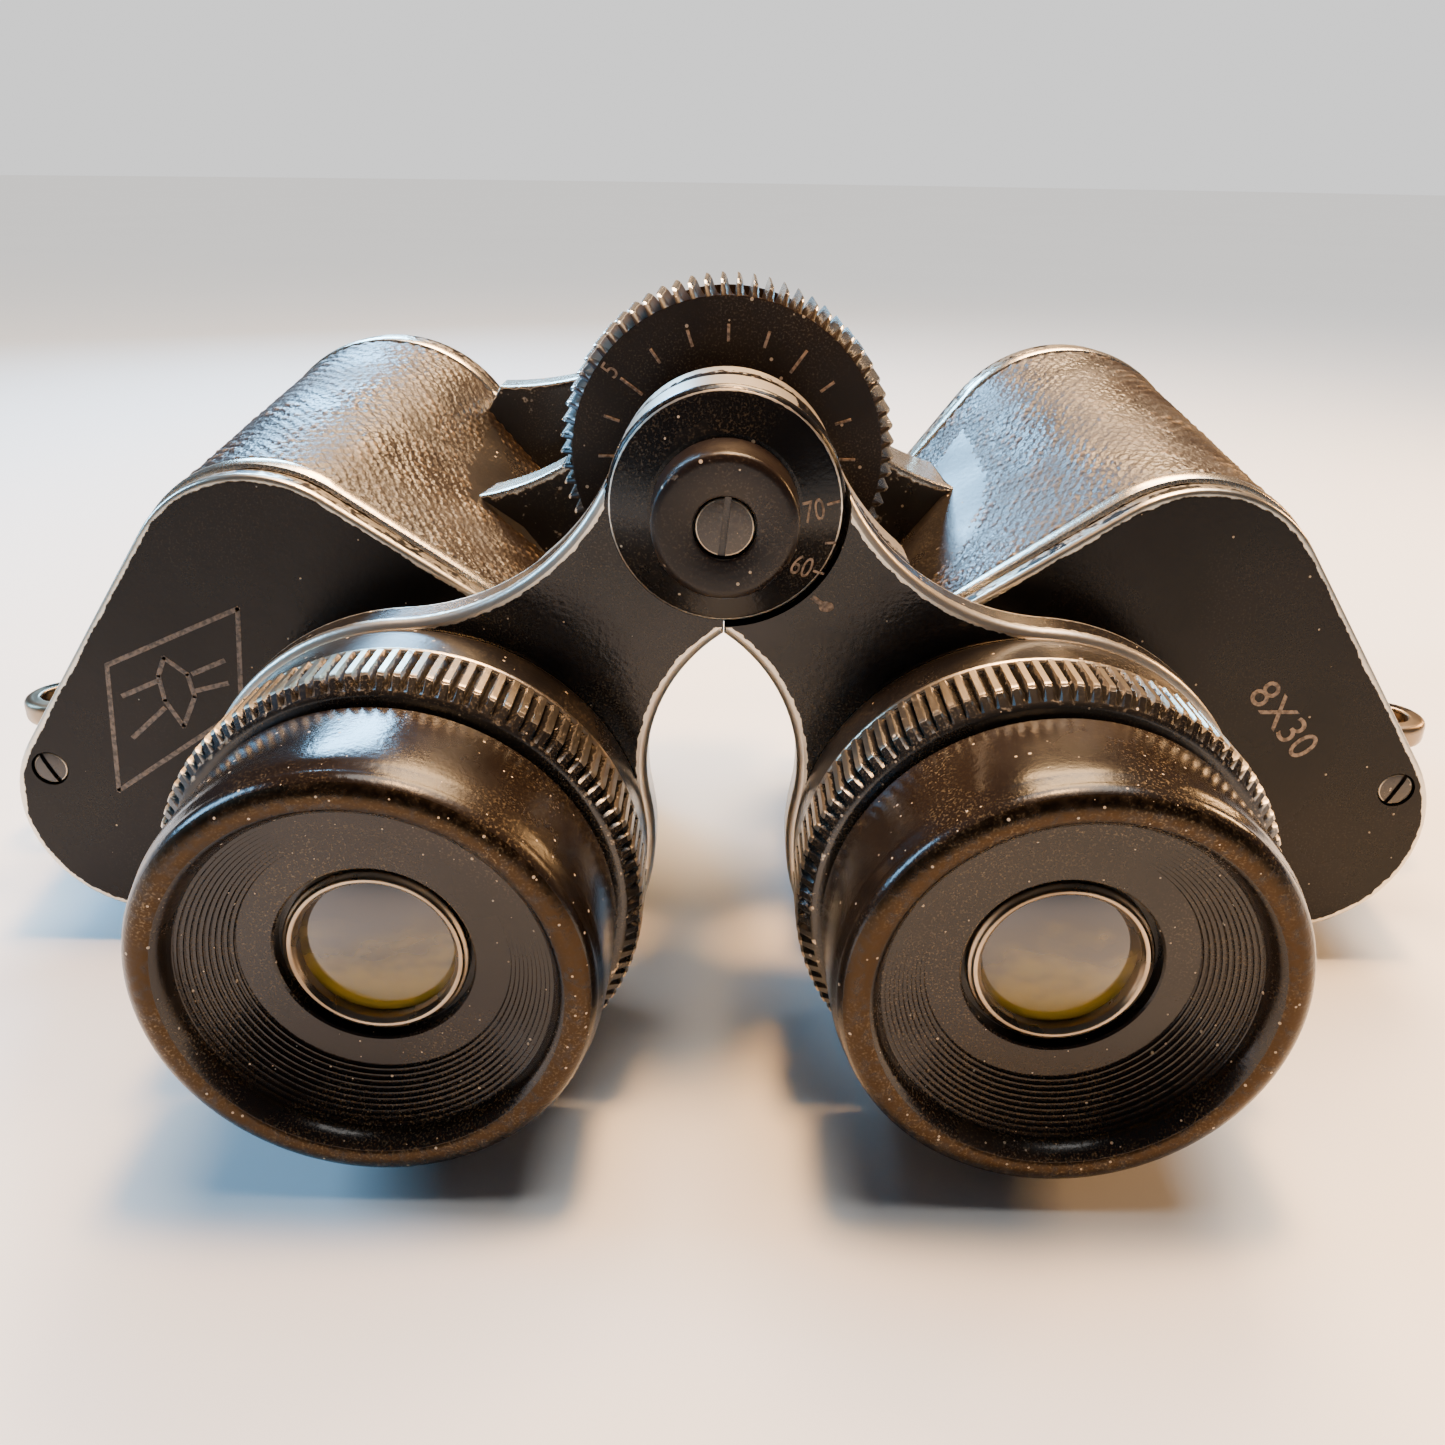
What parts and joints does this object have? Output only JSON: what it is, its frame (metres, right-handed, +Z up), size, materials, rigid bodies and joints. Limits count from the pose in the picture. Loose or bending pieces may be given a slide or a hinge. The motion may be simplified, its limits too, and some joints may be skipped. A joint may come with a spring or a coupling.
{
  "type": "binoculars",
  "caption": "Compact centre-focus Porro-prism binoculars with hinged leather-covered housings, knurled focus wheel, sliding eyepiece bridge and stepped eyecups.",
  "frame": {"origin": "on the surface the binoculars stand on, under the middle of their bounding box", "axes": "+Y towards the objectives, +X to the user's right, +Z up; the hinge axis runs along Y"},
  "size_m": [0.1524, 0.1098, 0.0634],
  "materials": {
    "cast_body": "black enamel over cast light alloy, worn along the rims",
    "leatherette": "pebbled grain",
    "cover_paint": "satin black enamel",
    "steel_screws": "blackened steel, worn in the slots",
    "bare_aluminium": "machined",
    "prism_glass": "polished",
    "spring_brass": "rolled",
    "nickel_trim": "aged nickel plate",
    "barrel_paint": "black enamel",
    "black_anodised": "matt black",
    "coated_glass": "polished, blue coating",
    "bridge_enamel": "gloss black enamel, edges worn to metal",
    "ring_enamel": "black enamel, flutes worn bright",
    "eyecup_bakelite": "polished dark bakelite",
    "eye_glass": "polished, amber reflection",
    "steel_shaft": "turned",
    "wheel_enamel": "satin black enamel, scallop tips worn to metal",
    "cap_enamel": "gloss black enamel"
  },
  "bodies": {
    "left_half": {"left_housing": "cast_body", "left_leather": "leatherette", "left_rear_cover": "cover_paint", "left_front_cover": "cover_paint", "left_cover_screws": "steel_screws", "left_prism_shelf": "bare_aluminium", "left_rear_prism": "prism_glass", "left_front_prism": "prism_glass", "left_prism_clips": "spring_brass", "left_shelf_screws": "steel_screws", "left_strap_lug": "nickel_trim", "left_objective_barrel": "barrel_paint", "left_objective_cell": "black_anodised", "left_objective_lens": "coated_glass", "left_objective_ring": "black_anodised", "hinge_axle": "steel_shaft", "hinge_front_cap": "barrel_paint", "wheel_lock_ring": "black_anodised"},
    "right_half": {"right_housing": "cast_body", "right_leather": "leatherette", "right_rear_cover": "cover_paint", "right_front_cover": "cover_paint", "right_cover_screws": "steel_screws", "right_prism_shelf": "bare_aluminium", "right_rear_prism": "prism_glass", "right_front_prism": "prism_glass", "right_prism_clips": "spring_brass", "right_shelf_screws": "steel_screws", "right_strap_lug": "nickel_trim", "right_objective_barrel": "barrel_paint", "right_objective_cell": "black_anodised", "right_objective_lens": "coated_glass", "right_objective_ring": "black_anodised"},
    "focus_wheel": {"focus_wheel": "wheel_enamel"},
    "left_bridge": {"left_arm": "bridge_enamel", "left_ocular_sleeve": "bridge_enamel", "left_ocular_tube": "black_anodised", "left_eyecup": "eyecup_bakelite", "left_eye_lens": "eye_glass", "left_lens_retainer": "nickel_trim", "left_field_lens": "coated_glass", "left_knurled_ring": "ring_enamel", "focus_spindle": "steel_shaft", "bridge_cap": "cap_enamel", "cap_screw": "steel_screws"},
    "right_bridge": {"right_arm": "bridge_enamel", "right_ocular_sleeve": "bridge_enamel"},
    "right_ocular": {"right_ocular_tube": "black_anodised", "right_eyecup": "eyecup_bakelite", "right_eye_lens": "eye_glass", "right_lens_retainer": "nickel_trim", "right_field_lens": "coated_glass"},
    "diopter_ring": {"right_diopter_ring": "ring_enamel"}
  },
  "joints": [
    {"name": "spacing_hinge", "type": "hinge", "parent": "left_half", "child": "right_half", "pos_m": [0, -0.00413, 0.0479], "axis": [0, -1, 0], "range_deg": [0, 59]},
    {"name": "focus_turn", "type": "hinge", "parent": "left_half", "child": "focus_wheel", "pos_m": [0, -0.01013, 0.0479], "axis": [0, -1, 0], "range_deg": [-210, 150]},
    {"name": "left_focus_slide", "type": "slide", "parent": "left_half", "child": "left_bridge", "axis": [0, -1, 0], "range_m": [-0.0047, 0.0034]},
    {"name": "right_focus_slide", "type": "slide", "parent": "right_half", "child": "right_bridge", "axis": [0, -1, 0], "range_m": [-0.0047, 0.0034]},
    {"name": "diopter_slide", "type": "slide", "parent": "right_bridge", "child": "right_ocular", "axis": [0, -1, 0], "range_m": [0, 0.0021]},
    {"name": "diopter_turn", "type": "hinge", "parent": "right_ocular", "child": "diopter_ring", "pos_m": [0.025, -0.04013, 0.019], "axis": [0, -1, 0], "range_deg": [0, 150]}
  ],
  "couplings": [
    {"joint": "left_focus_slide", "follows": "focus_turn", "m_per_rad": 0.0012732},
    {"joint": "right_focus_slide", "follows": "focus_turn", "m_per_rad": 0.0012732},
    {"joint": "diopter_slide", "follows": "diopter_turn", "m_per_rad": 0.00076394}
  ]
}
